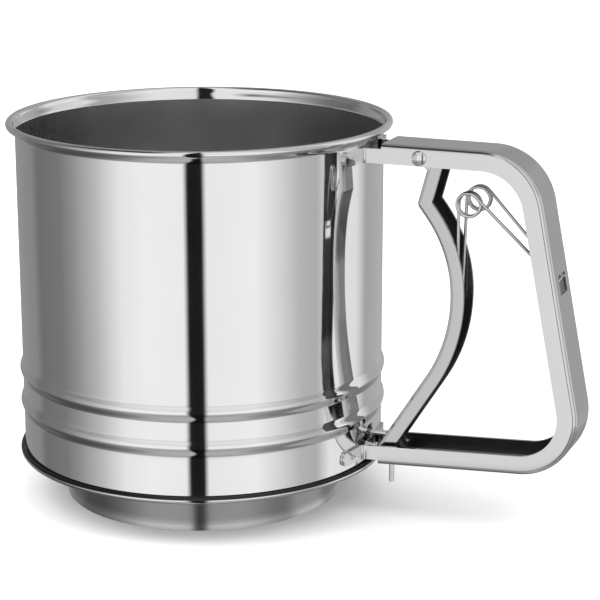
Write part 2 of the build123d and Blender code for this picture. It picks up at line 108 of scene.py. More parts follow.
def face_outward(work, near_point, outward):
    """Makes the sheet's good side the one that looks outward near a point."""
    bmesh.ops.recalc_face_normals(work, faces=work.faces)
    target = Vector(near_point)
    nearest = min(work.faces, key=lambda face: (face.calc_center_median() - target).length)
    if nearest.normal.dot(Vector(outward)) < 0:
        bmesh.ops.reverse_faces(work, faces=work.faces)


def break_edges(piece, rounding, sharp_degrees=40):
    """The small round that tumbling and polishing leave on every edge."""
    bevel = piece.modifiers.new("broken_edges", "BEVEL")
    bevel.width = rounding
    bevel.segments = 2
    bevel.limit_method = "ANGLE"
    bevel.angle_limit = math.radians(sharp_degrees)
    bevel.harden_normals = False
    normals = piece.modifiers.new("even_shading", "WEIGHTED_NORMAL")
    normals.keep_sharp = True


def spin_profile(profile, angles, closed=False):
    """Turns a list of (radius, height) into rings of vertices and quads."""
    work = bmesh.new()
    rings = []
    for angle in angles:
        across, along = math.cos(angle), math.sin(angle)
        rings.append([work.verts.new((r * across, r * along, z)) for r, z in profile])
    last = len(profile) if closed else len(profile) - 1
    for here, there in zip(rings, rings[1:] + rings[:1]):
        for row in range(last):
            up = (row + 1) % len(profile)
            work.faces.new((here[row], there[row], there[up], here[up]))
    return work, rings


def even_angles(count):
    return [2 * math.pi * number / count for number in range(count)]


def steel_in_use():
    """Node group: slow waviness, fine polishing scratches and faint smudges."""
    group = bpy.data.node_groups.new("steel_in_use", "ShaderNodeTree")
    for title, kind in (
        ("Smoothness", "NodeSocketFloat"),
        ("Smudge", "NodeSocketFloat"),
        ("Scratch", "NodeSocketFloat"),
        ("Wave", "NodeSocketFloat"),
        ("Tone", "NodeSocketFloat"),
        ("Lines", "NodeSocketVector"),
    ):
        group.interface.new_socket(title, in_out="INPUT", socket_type=kind)
    for title, kind in (
        ("Color", "NodeSocketColor"),
        ("Roughness", "NodeSocketFloat"),
        ("Height", "NodeSocketFloat"),
    ):
        group.interface.new_socket(title, in_out="OUTPUT", socket_type=kind)
    tree = group.nodes
    wire = group.links.new
    given = tree.new("NodeGroupInput")
    out = tree.new("NodeGroupOutput")
    place = tree.new("ShaderNodeTexCoord")
    stretch = tree.new("ShaderNodeVectorMath")
    stretch.operation = "MULTIPLY"
    wire(place.outputs["Object"], stretch.inputs[0])
    wire(given.outputs["Lines"], stretch.inputs[1])
    scratches = tree.new("ShaderNodeTexNoise")
    scratches.inputs["Scale"].default_value = 1.0
    scratches.inputs["Detail"].default_value = 6
    wire(stretch.outputs[0], scratches.inputs["Vector"])
    smudges = tree.new("ShaderNodeTexNoise")
    smudges.inputs["Scale"].default_value = 55
    smudges.inputs["Detail"].default_value = 5
    wire(place.outputs["Object"], smudges.inputs["Vector"])
    waves = tree.new("ShaderNodeTexNoise")
    waves.inputs["Scale"].default_value = 28
    waves.inputs["Detail"].default_value = 1
    wire(place.outputs["Object"], waves.inputs["Vector"])
    smear = tree.new("ShaderNodeMath")
    smear.operation = "MULTIPLY_ADD"
    wire(smudges.outputs["Fac"], smear.inputs[0])
    wire(given.outputs["Smudge"], smear.inputs[1])
    wire(given.outputs["Smoothness"], smear.inputs[2])
    wire(smear.outputs[0], out.inputs["Roughness"])
    fine = tree.new("ShaderNodeMath")
    fine.operation = "MULTIPLY"
    wire(scratches.outputs["Fac"], fine.inputs[0])
    wire(given.outputs["Scratch"], fine.inputs[1])
    both = tree.new("ShaderNodeMath")
    both.operation = "MULTIPLY_ADD"
    wire(waves.outputs["Fac"], both.inputs[0])
    wire(given.outputs["Wave"], both.inputs[1])
    wire(fine.outputs[0], both.inputs[2])
    wire(both.outputs[0], out.inputs["Height"])
    shade = tree.new("ShaderNodeMath")
    shade.operation = "MULTIPLY_ADD"
    shade.inputs[1].default_value = 0.05
    wire(smudges.outputs["Fac"], shade.inputs[0])
    wire(given.outputs["Tone"], shade.inputs[2])
    grey = tree.new("ShaderNodeCombineColor")
    for channel in ("Red", "Green", "Blue"):
        wire(shade.outputs[0], grey.inputs[channel])
    wire(grey.outputs[0], out.inputs["Color"])
    return group


steel_group = steel_in_use()


def steel(name, smoothness, smudge, scratch, wave, tone, lines, relief):
    """A stainless finish; lines is how tight the scratches are along each axis."""
    finish = bpy.data.materials.new(name)
    finish.use_nodes = True
    tree = finish.node_tree
    shader = tree.nodes["Principled BSDF"]
    shader.inputs["Metallic"].default_value = 1.0
    surface = tree.nodes.new("ShaderNodeGroup")
    surface.node_tree = steel_group
    surface.inputs["Smoothness"].default_value = smoothness
    surface.inputs["Smudge"].default_value = smudge
    surface.inputs["Scratch"].default_value = scratch
    surface.inputs["Wave"].default_value = wave
    surface.inputs["Tone"].default_value = tone
    surface.inputs["Lines"].default_value = lines
    bump = tree.nodes.new("ShaderNodeBump")
    bump.inputs["Strength"].default_value = 1.0
    bump.inputs["Distance"].default_value = relief
    tree.links.new(surface.outputs["Height"], bump.inputs["Height"])
    tree.links.new(bump.outputs["Normal"], shader.inputs["Normal"])
    tree.links.new(surface.outputs["Color"], shader.inputs["Base Color"])
    tree.links.new(surface.outputs["Roughness"], shader.inputs["Roughness"])
    return finish


mirror_steel = steel("mirror_steel", 0.03, 0.045, 0.05, 0.8, 0.86, (40, 40, 2600), 0.00002)
satin_inside = steel("satin_inside", 0.13, 0.12, 0.4, 0.5, 0.84, (40, 40, 2600), 0.00002)


def arc_points(centre, radius, start, end, count):
    """Points of an arc in degrees, both ends included."""
    points = []
    for number in range(count + 1):
        angle = math.radians(start + (end - start) * number / count)
        points.append((centre[0] + radius * math.cos(angle), centre[1] + radius * math.sin(angle)))
    return points


def cup_profile():
    """The wall's middle line, from the hem in the seam up to the end of the curl."""
    hem_height = pan_high.z - 0.5 * MM - 0.45 * MM
    seam_reach = pan_high.y - 0.8 * MM
    points = [(seam_reach, hem_height), (wall_middle + 0.35 * MM, hem_height)]
    points += arc_points((wall_middle + 0.35 * MM, hem_height + 0.35 * MM), 0.35 * MM, 270, 180, 4)[1:]
    window = [link_height + window_half * share for share in (-1, -0.72, -0.43, 0, 0.43, 0.72, 1)]
    points += [(wall_middle, height) for height in window]
    for middle in ridge_heights:
        for number in range(17):
            share = number / 16
            height = middle + (share - 0.5) * ridge_tall
            swell = 0.5 - 0.5 * math.cos(2 * math.pi * share)
            points.append((wall_middle + ridge_proud * swell, height))
    flare_start = rim_centre[1] - rim_flare_height
    body_rows = 14
    last_ridge = ridge_heights[-1] + ridge_tall / 2
    for number in range(1, body_rows + 1):
        points.append((wall_middle, last_ridge + (flare_start - last_ridge) * number / body_rows))
    curl = rim_curl_radius - cup_sheet / 2
    for number in range(1, 7):
        share = number / 6
        ease = share * share * (3 - 2 * share)
        reach = rim_centre[0] - curl - wall_middle
        points.append((wall_middle + reach * ease, flare_start + rim_flare_height * share))
    return points + arc_points(rim_centre, curl, 180, -145, 22)[1:]


def window_angles():
    """Even turns, with lines on the window's sides added near +X."""
    sides = [window_half * share for share in (-1, -0.72, -0.43, 0, 0.43, 0.72, 1)]
    near = [math.asin(side / wall_middle) for side in sides]
    step = 2 * math.pi / around
    kept = [angle for angle in even_angles(around) if near[-1] + step / 2 < angle < 2 * math.pi + near[0] - step / 2]
    return sorted(near + kept)


def cut_window(work):
    """Opens the wall for the link wire, with its corners eased."""
    hole = []
    for face in work.faces:
        middle = face.calc_center_median()
        if middle.x > 0 and abs(middle.y) < window_half and abs(middle.z - link_height) < window_half:
            hole.append(face)
    bmesh.ops.delete(work, geom=hole, context="FACES")
    for vert in work.verts:
        side, up = vert.co.y, vert.co.z - link_height
        at_corner = min(abs(side), abs(up)) > window_half * 0.9 and max(abs(side), abs(up)) < window_half * 1.1
        if vert.co.x > 0 and at_corner:
            ease = 1 - (1 - math.sqrt(0.5)) * window_corner / window_half
            vert.co.y = side * ease
            vert.co.z = link_height + up * ease
            vert.co.x = math.sqrt(wall_middle**2 - vert.co.y**2)


cup_mesh, cup_rings = spin_profile(cup_profile(), window_angles())
cut_window(cup_mesh)
face_outward(cup_mesh, (0, cup_radius, cup_high.z / 2), (0, 1, 0))
rim_from = rim_centre[1] - rim_flare_height
for face in cup_mesh.faces:
    if face.calc_center_median().z > rim_from:
        face.material_index = 2
cup = mesh_piece("cup_wall", cup_mesh, mirror_steel, "root", ["cup_body"])
give_thickness(cup, cup_sheet, 0.08 * MM, satin_inside)
for rim_side in range(2):
    cup.data.materials.append(mirror_steel)

# Base pan: one spun pressing, foot and floor ring together, folded up and over the cup's hem to
# lock the seam. The foot tapers in a little and ends in a short straight lip.
pan_sheet = 0.5 * MM
foot_lip_height = 2.5 * MM
foot_low_radius = 39.3 * MM - pan_sheet / 2
foot_top_radius = 40.5 * MM - pan_sheet / 2
pan_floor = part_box("sieve_mesh")[0].z - pan_sheet / 2
bead_bend = 0.65 * MM

spun_steel = steel("spun_steel", 0.13, 0.08, 0.12, 0.7, 0.6, (40, 40, 2600), 0.00002)
# painted_seam_shade: the top of the bead, where the pan folds over the cup's hem, is painted near black (tone 0.03) as
# painted shade in the seam.
painted_seam_shade = steel("painted_seam_shade", 0.3, 0.15, 0.3, 0.5, 0.03, (40, 40, 2600), 0.00002)
# bead_polish_and_highlight: a smoother finish whose brighter tone (0.8 against the pan's 0.6) is a painted highlight
# along the bead's front.
bead_polish_and_highlight = steel("bead_polish_and_highlight", 0.06, 0.05, 0.1, 0.5, 0.8, (40, 40, 2600), 0.00002)


def pan_profile():
    """From the foot's lip up, out along the floor and over the seam."""
    bead_outer = pan_high.y - pan_sheet / 2
    bead_top = pan_high.z - pan_sheet / 2
    shoulder = 0.9 * MM
    points = [(foot_low_radius, 0.0), (foot_low_radius, foot_lip_height * 0.5), (foot_low_radius, foot_lip_height)]
    steps = 8
    for number in range(1, steps + 1):
        share = number / steps
        rise = foot_lip_height + (pan_floor - shoulder - foot_lip_height) * share
        points.append((foot_low_radius + (foot_top_radius - foot_low_radius) * share, rise))
    centre = (points[-1][0] + shoulder, pan_floor - shoulder)
    points += arc_points(centre, shoulder, 180, 90, 6)[1:]
    points += arc_points((bead_outer - bead_bend, pan_floor + bead_bend), bead_bend, -90, 0, 6)
    points += arc_points((bead_outer - bead_bend, bead_top - bead_bend), bead_bend, 0, 90, 6)
    points.append((cup_radius + 0.3 * MM, bead_top))
    return points


pan_mesh, pan_rings = spin_profile(pan_profile(), even_angles(around))
face_outward(pan_mesh, (0, foot_low_radius, foot_lip_height), (0, 1, 0))
# Faces on the top of the bead, above painted_shade_from, get the painted shade; the band below them, down to
# bead_highlight_from, gets the painted highlight.
painted_shade_from = pan_high.z - 0.75 * MM
bead_highlight_from = pan_floor + 0.35 * MM
for face in pan_mesh.faces:
    middle = face.calc_center_median()
    if middle.xy.length > cup_radius:
        if middle.z > painted_shade_from:
            face.material_index = 2
        elif middle.z > bead_highlight_from:
            face.material_index = 3
pan = mesh_piece("pan_and_foot", pan_mesh, spun_steel, "root", ["base_pan"])
give_thickness(pan, pan_sheet, 0.08 * MM, satin_inside)
# Slots 2 to 4: the painted seam shade and the brighter painted highlight band, each carried on to the sheet's inner
# side as well.
for painted_bead_band in (painted_seam_shade, bead_polish_and_highlight, bead_polish_and_highlight):
    pan.data.materials.append(painted_bead_band)

# Sieve cloth: stainless wire woven over and under in both directions, cut to a disc and trapped
# at its rim. The centre is punched for the rivet.
mesh_low, mesh_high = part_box("sieve_mesh")
cloth_radius = mesh_high.x
cloth_middle = (mesh_low.z + mesh_high.z) / 2
cloth_pitch = 1.3 * MM
cloth_wire = 0.115 * MM
cloth_hole = 1.5 * MM

woven_wire = steel("woven_wire", 0.26, 0.1, 0.2, 0.2, 0.66, (900, 900, 900), 0.00002)


def wire_tube(work, points, radius, sides, capped=True):
    """Adds a round wire along points, its section carried without twist."""
    points = [Vector(point) for point in points]
    ahead = [(b - a).normalized() for a, b in zip(points, points[1:])]
    tangents = [ahead[0]]
    for before, after in zip(ahead, ahead[1:]):
        tangents.append((before + after).normalized())
    tangents.append(ahead[-1])
    start = Vector((0, 0, 1)) if abs(tangents[0].z) < 0.9 else Vector((1, 0, 0))
    across = (start - tangents[0] * start.dot(tangents[0])).normalized()
    rings = []
    for point, tangent in zip(points, tangents):
        across = (across - tangent * across.dot(tangent)).normalized()
        other = tangent.cross(across)
        ring = []
        for number in range(sides):
            angle = 2 * math.pi * number / sides
            ring.append(work.verts.new(point + (across * math.cos(angle) + other * math.sin(angle)) * radius))
        rings.append(ring)
    for here, there in zip(rings, rings[1:]):
        for number in range(sides):
            after = (number + 1) % sides
            work.faces.new((here[number], here[after], there[after], there[number]))
    if capped:
        work.faces.new(rings[0][::-1])
        work.faces.new(rings[-1])


def weave_cloth():
    """Every wire of both directions, each over one and under the next."""
    work = bmesh.new()
    half_count = int(cloth_radius / cloth_pitch)
    for direction in (0, 1):
        for row in range(-half_count, half_count + 1):
            side = (row + 0.5) * cloth_pitch
            if abs(side) > cloth_radius - cloth_wire:
                continue
            reach = math.sqrt((cloth_radius - cloth_wire) ** 2 - side**2)
            blocked = math.sqrt(cloth_hole**2 - side**2) if abs(side) < cloth_hole else 0
            spans = [(-reach, -blocked), (blocked, reach)] if blocked else [(-reach, reach)]
            for low, high in spans:
                steps = max(2, round((high - low) / cloth_pitch * 2))
                points = []
                for number in range(steps + 1):
                    along = low + (high - low) * number / steps
                    phase = math.pi * (along / cloth_pitch - 0.5 + row + direction)
                    lift = cloth_wire * 0.75 * math.cos(phase)
                    flat = (along, side) if direction == 0 else (side, along)
                    points.append((flat[0], flat[1], cloth_middle + lift))
                wire_tube(work, points, cloth_wire, 4)
    return work


cloth = mesh_piece("woven_sieve", weave_cloth(), woven_wire, "root", ["sieve_mesh"])

# Clamp ring and support bar: the ring is turned from plain sheet and presses the cloth on the
# pan. The bar is a strap across the foot, its ends turned down and spot welded inside it.
ring_low, ring_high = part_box("mesh_clamp_ring")
bar_low, bar_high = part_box("support_bar")
ring_sheet = ring_high.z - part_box("sieve_mesh")[1].z
ring_width = 3.0 * MM
bar_sheet = 0.8 * MM
bar_bend = 1.4 * MM

rolled_sheet = steel("rolled_sheet", 0.24, 0.12, 0.5, 0.4, 0.7, (60, 1800, 1800), 0.00002)


def solid_ring(profile, count=96):
    work, rings = spin_profile(profile, even_angles(count), closed=True)
    bmesh.ops.recalc_face_normals(work, faces=work.faces)
    return work


def clamp_profile():
    inner, outer = ring_high.x - ring_width, ring_high.x
    cloth_top = ring_high.z - ring_sheet
    step = cloth_radius + 0.05 * MM
    crown = arc_points((outer - ring_sheet / 2, ring_high.z - ring_sheet / 2), ring_sheet / 2, 0, 90, 4)
    low = [(inner, cloth_top), (step, cloth_top), (step, ring_low.z), (outer, ring_low.z)]
    return low + crown + [(inner + 0.1 * MM, ring_high.z), (inner, ring_high.z - 0.1 * MM)]


clamp = mesh_piece(
    "cloth_clamp_ring", solid_ring(clamp_profile(), 192), rolled_sheet, "root", ["mesh_clamp_ring"]
)
break_edges(clamp, 0.06 * MM)


def strap_bar():
    """The bar's middle surface, bent down inside the foot at both ends."""
    work = bmesh.new()
    top = bar_high.z - bar_sheet / 2
    reach = bar_high.y - bar_sheet / 2 - 0.35 * MM
    lean = (foot_top_radius - foot_low_radius) / pan_floor
    path = []
    for sign in (1, -1):
        half = [(reach - bar_bend - n * (reach - bar_bend) / 10, top) for n in range(10, -1, -1)]
        half += arc_points((reach - bar_bend, top - bar_bend), bar_bend, 90, 0, 6)[1:]
        half.append((reach - lean * (top - bar_bend - bar_low.z), bar_low.z))
        path.append([(sign * y, z) for y, z in half])
    line = path[1][:0:-1] + path[0]
    widths = [bar_low.x + (bar_high.x - bar_low.x) * n / 6 for n in range(7)]
    rows = [[work.verts.new((x, y, z)) for x in widths] for y, z in line]
    for here, there in zip(rows, rows[1:]):
        for n in range(len(widths) - 1):
            work.faces.new((here[n], here[n + 1], there[n + 1], there[n]))
    return work


bar = mesh_piece("support_strap", strap_bar(), rolled_sheet, "root", ["support_bar"])
give_thickness(bar, bar_sheet, 0.12 * MM)

# Centre rivet with its washers: a cold-headed pin that clamps bar and cloth, carries the bush
# and stops it with a thin washer under a low dome.
rivet_low, rivet_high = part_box("centre_rivet")
rivet_radius = 1.5 * MM
low_head_radius = rivet_high.x
low_head_tall = 1.2 * MM
top_head_radius = 2.6 * MM
top_head_tall = 0.85 * MM

headed_steel = steel("headed_steel", 0.12, 0.08, 0.25, 0.5, 0.78, (1200, 1200, 1200), 0.00002)


def domed(radius, tall, base, up, count=9):
    """Profile of a low rivet head from its edge to the axis."""
    ball = (radius**2 + tall**2) / (2 * tall)
    spread = math.asin(min(1, radius / ball))
    points = []
    for number in range(count + 1):
        angle = spread * (1 - number / count)
        points.append((max(ball * math.sin(angle), 1e-6), base + up * (ball * math.cos(angle) - (ball - tall))))
    return points


def rivet_profile():
    head_base = rivet_low.z + low_head_tall
    top_base = rivet_high.z - top_head_tall
    low = domed(low_head_radius, low_head_tall * 0.75, head_base - low_head_tall * 0.25, -1)[::-1]
    low += [(low_head_radius, head_base), (rivet_radius, head_base), (rivet_radius, top_base)]
    return low + [(top_head_radius, top_base)] + domed(top_head_radius, top_head_tall * 0.8, top_base + 0.17 * MM, 1)


rivet_mesh, rivet_rings = spin_profile(rivet_profile(), even_angles(48))
bmesh.ops.remove_doubles(rivet_mesh, verts=rivet_mesh.verts, dist=2e-6)
bmesh.ops.recalc_face_normals(rivet_mesh, faces=rivet_mesh.faces)
centre_rivet = mesh_piece("centre_rivet_pin", rivet_mesh, headed_steel, "root", ["centre_rivet"])
break_edges(centre_rivet, 0.06 * MM)


def washer_profile(low, high, bore):
    outer = high.x
    return [(bore, low.z), (outer, low.z), (outer, high.z), (bore, high.z)]


for title, node in (("cloth_washer", "mesh_washer"), ("stop_washer", "top_washer")):
    low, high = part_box(node)
    work = solid_ring(washer_profile(low, high, rivet_radius))
    washer = mesh_piece(title, work, rolled_sheet, "root", [node])
    break_edges(washer, 0.08 * MM)

# Agitator: a turned bush staked into a stamped cross of four arms with a slotted lever, and an
# angle strip spot welded under each arm to sweep the cloth.
bush_low, bush_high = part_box("agitator_bush")
plate_low, plate_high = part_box("agitator_plate")
bush_bore = 1.55 * MM
bush_neck = 4.0 * MM
plate_hub = 9.0 * MM
arm_length = 36.0 * MM
arm_width = 6.0 * MM
lever_width = 9.0 * MM
hook_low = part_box("link_rod")[0]
hook_point = (hook_low.x + 0.75 * MM, hook_low.y + 0.75 * MM)
hook_radius = math.hypot(*hook_point)
lever_angle = math.atan2(hook_point[1], hook_point[0])
lever_end_margin = 3.9 * MM
slot_near = abs(hook_point[1])
slot_end_play = 0.8 * MM
slot_half = 1.35 * MM


def bush_profile():
    points = [(bush_bore, bush_low.z), (bush_high.x, bush_low.z), (bush_high.x, plate_low.z)]
    return points + [(bush_neck, plate_low.z), (bush_neck, bush_high.z), (bush_bore, bush_high.z)]


bush = mesh_piece("turning_bush", solid_ring(bush_profile()), headed_steel, "agitator", ["agitator_bush"])
break_edges(bush, 0.15 * MM)


def plate_radius(angle):
    """How far the stamped outline reaches at an angle from the lever."""
    reach = plate_hub
    for number in range(4):
        turn = angle - (number + 0.5) * math.pi / 2
        reach = max(reach, bar_reach(turn, arm_length, arm_width / 2))
    straight = hook_radius + lever_end_margin - lever_width / 2
    return max(reach, bar_reach(angle, straight, lever_width / 2))


def bar_reach(turn, straight, half):
    """Reach of a round-ended bar from the centre at an angle from its own line."""
    across, along = math.sin(turn), math.cos(turn)
    if along <= 0:
        return 0
    side = abs(half / across) if abs(across) > 1e-9 else 1e9
    if side * along <= straight:
        return side
    inside = half**2 - (straight * across) ** 2
    return straight * along + math.sqrt(max(inside, 0))


def plate_angles():
    """Even turns of half a degree all round."""
    marks = set()
    for number in range(720):
        marks.add(round(math.radians(number * 0.5), 6))
    return sorted(marks)


def stamped_plate():
    """The cross as an outline and two holes, filled and pulled to its thickness."""
    work = bmesh.new()
    loops = [[], [], []]
    for angle in plate_angles():
        reach = plate_radius(angle)
        turned = angle + lever_angle
        loops[0].append((reach * math.cos(turned), reach * math.sin(turned)))
    loops[1] = [(bush_neck * math.cos(a), bush_neck * math.sin(a)) for a in even_angles(48)]
    ends = (slot_near - slot_end_play, hook_radius + slot_end_play)
    for end, start in ((ends[1], -90), (ends[0], 90)):
        for along, side in arc_points((end, 0), slot_half, start, start + 180, 12):
            cosine, sine = math.cos(lever_angle), math.sin(lever_angle)
            loops[2].append((along * cosine - side * sine, along * sine + side * cosine))
    edges = []
    for loop in loops:
        verts = [work.verts.new((x, y, plate_low.z)) for x, y in loop]
        for here, there in zip(verts, verts[1:] + verts[:1]):
            edges.append(work.edges.new((here, there)))
    bmesh.ops.triangle_fill(work, edges=edges, use_beauty=True)
    pull_up(work, plate_high.z - plate_low.z)
    return work


def pull_up(work, tall):
    """Gives a flat face set its thickness along +Z."""
    raised = bmesh.ops.extrude_face_region(work, geom=work.faces[:])
    for item in raised["geom"]:
        if isinstance(item, bmesh.types.BMVert):
            item.co.z += tall
    bmesh.ops.recalc_face_normals(work, faces=work.faces)


plate = mesh_piece("stamped_cross", stamped_plate(), rolled_sheet, "agitator", ["agitator_plate"])
plate.data.shade_flat()

blade_inner = 8.5 * MM
blade_outer = 39.5 * MM
blade_sheet = 0.6 * MM
blade_flange = 3.6 * MM
blade_bend = 0.7 * MM


def angle_strip(turn, low_z, high_z):
    """An L strip's middle surface along one arm, with its bend rounded."""
    work = bmesh.new()
    outer = -blade_flange / 2 + blade_sheet / 2
    top = high_z - blade_sheet / 2
    section = [(blade_flange / 2, top), (0, top), (outer + blade_bend, top)]
    section += arc_points((outer + blade_bend, top - blade_bend), blade_bend, 90, 180, 5)[1:]
    section += [(outer, low_z)]
    steps = 16
    rows = []
    for number in range(steps + 1):
        along = blade_inner + (blade_outer - blade_inner) * number / steps
        row = []
        for side, z in section:
            row.append(work.verts.new((along * math.cos(turn) - side * math.sin(turn), along * math.sin(turn) + side * math.cos(turn), z)))
        rows.append(row)
    for here, there in zip(rows, rows[1:]):
        for n in range(len(section) - 1):
            work.faces.new((here[n], there[n], there[n + 1], here[n + 1]))
    return work


for number in range(4):
    node = f"agitator_blade_{number + 1}"
    low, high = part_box(node)
    strip = angle_strip(lever_angle + (number + 0.5) * math.pi / 2, low.z, high.z)
    blade = mesh_piece(f"sweeping_blade_{number + 1}", strip, rolled_sheet, "agitator", [node])
    give_thickness(blade, blade_sheet, 0.08 * MM)

# Handle: one blank folded to a U, bent round to a D and polished. Its flanges run on past the
# web and fold out into four ears, which are spot welded to the cup.
handle_low, handle_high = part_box("handle")
channel_half = 7.25 * MM
channel_depth = 5.3 * MM
channel_sheet = 0.8 * MM
channel_bend = 1.4 * MM
handle_top = handle_high.z
handle_reach = cup_radius + 46.7 * MM
low_corner = (cup_radius + 63.7 * MM, 18.4 * MM)
low_slope = math.tan(math.radians(3.35))
web_end = cup_radius + 5.0 * MM
ear_length = 8.5 * MM
ear_fold = 1.1 * MM
ear_corner = 1.6 * MM

polished_sheet = steel("polished_sheet", 0.07, 0.06, 0.12, 0.6, 0.7, (1500, 60, 1500), 0.00002)
# painted_fold_shade: the inner side of the handle's and trigger's folds is darkened to tone 0.2 as painted shade in the
# channel, with a rougher finish.
painted_fold_shade = steel("painted_fold_shade", 0.18, 0.12, 0.4, 0.6, 0.2, (1500, 60, 1500), 0.00002)


def turned_line(corners, radii, offset, run_stops, arc_steps):
    """A bent strip's edge line: straight runs joined by arcs, offset to the right of travel."""
    runs = []
    for start, end in zip(corners, corners[1:]):
        start, end = Vector(start), Vector(end)
        along = (end - start).normalized()
        right = Vector((along.y, -along.x))
        runs.append((start + right * offset, end + right * offset, along))
    ends = []
    for (a, _, first), (b, _, second), radius in zip(runs, runs[1:], radii):
        turn = first.x * second.y - first.y * second.x
        gap = b - a
        corner = a + first * ((gap.x * second.y - gap.y * second.x) / turn)
        bent = max(radius + offset * math.copysign(1, turn), 0.3 * MM)
        angle = first.angle(second)
        setback = bent * math.tan(angle / 2)
        ends.append((corner - first * setback, corner + second * setback, bent, math.copysign(1, turn), angle, first))
    points = []
    for number, (start, end, along) in enumerate(runs):
        begin = ends[number - 1][1] if number > 0 else start
        finish = ends[number][0] if number < len(ends) else end
        points += [begin + (finish - begin) * stop for stop in run_stops[number]]
        if number < len(ends):
            first_point, last_point, bent, way, angle, heading = ends[number]
            left = Vector((-heading.y, heading.x)) * way
            centre = first_point + left * bent
            for step in range(1, arc_steps[number]):
                swing = angle * step / arc_steps[number]
                points.append(centre - left * bent * math.cos(swing) + heading * bent * math.sin(swing))
    return points


def channel_section(half, depth, sheet, bend, web_stops):
    """(offset, side) pairs round a U, from one flange's edge to the other's."""
    inset = sheet / 2
    middle_bend = bend - inset
    flange = [(depth, -(half - inset)), ((depth + bend) / 2, -(half - inset)), (bend, -(half - inset))]
    corner = []
    for number in range(1, 6):
        angle = math.radians(90 * number / 6)
        corner.append((bend - middle_bend * math.sin(angle), -(half - bend) - middle_bend * math.cos(angle)))
    side = flange + corner
    web = [(inset, stop) for stop in web_stops]
    return side + web + [(offset, -across) for offset, across in side[::-1]]


def evenly(count):
    return [number / count for number in range(count + 1)]


def channel_rows(corners, radii, section, run_stops, arc_steps):
    return [
        [Vector((p.x, across, p.y)) for p in turned_line(corners, radii, offset, run_stops, arc_steps)]
        for offset, across in section
    ]


def with_stop(stops, *extra):
    return sorted(set(stops) | set(extra))


def ear_line(across_sign, steps_fold=6, steps_wall=8):
    """Plan line of a flange from the web's end to the tip of its ear."""
    side = channel_half - channel_sheet / 2
    wall = cup_radius + channel_sheet / 2
    fold = ear_fold + channel_sheet / 2
    centre_y = side + fold
    centre_x = math.sqrt((wall + fold) ** 2 - centre_y**2)
    touch = math.atan2(centre_y, centre_x)
    line = [(web_end - (web_end - centre_x) * n / 3, side) for n in range(4)]
    start, stop = -90.0, math.degrees(touch) - 180.0
    line += arc_points((centre_x, centre_y), fold, start, stop, steps_fold)[1:]
    tip = math.asin((channel_half + ear_length) / wall)
    round_from = tip - ear_corner / wall
    plain = [touch + (round_from - touch) * n / steps_wall for n in range(1, steps_wall + 1)]
    rounding = [round_from + (tip - round_from) * math.sin(math.pi / 2 * n / 4) for n in range(1, 5)]
    for angle in plain + rounding:
        line.append((wall * math.cos(angle), wall * math.sin(angle)))
    return [(x, y * across_sign) for x, y in line]


def lower_web(x):
    return low_corner[1] - (low_corner[0] - x) * low_slope


def rounded_height(to_tip, half):
    """Half height of an ear at a distance from its rounded tip."""
    short = ear_corner - min(to_tip, ear_corner)
    return half - (ear_corner - math.sqrt(max(ear_corner**2 - short**2, 0)))


def add_ears(work, flange_verts, upper, across_sign):
    """Carries three flange rows on round the fold and along the wall."""
    line = ear_line(across_sign)
    rows = [list(verts) for verts in [[v] for v in flange_verts]]
    near, far = channel_bend, channel_depth
    half = (far - near) / 2
    tip = Vector(line[-1])
    for x, y in line[1:]:
        to_tip = (Vector((x, y)) - tip).length
        room = rounded_height(to_tip, half)
        middle = handle_top - (near + far) / 2 if upper else lower_web(x) + (near + far) / 2
        for row, share in zip(rows, (1, 0, -1)):
            lift = -room * share if upper else room * share
            row.append(work.verts.new((x, y, middle + lift)))
    for first, second in zip(rows, rows[1:]):
        for n in range(len(line) - 1):
            work.faces.new((first[n], first[n + 1], second[n + 1], second[n]))


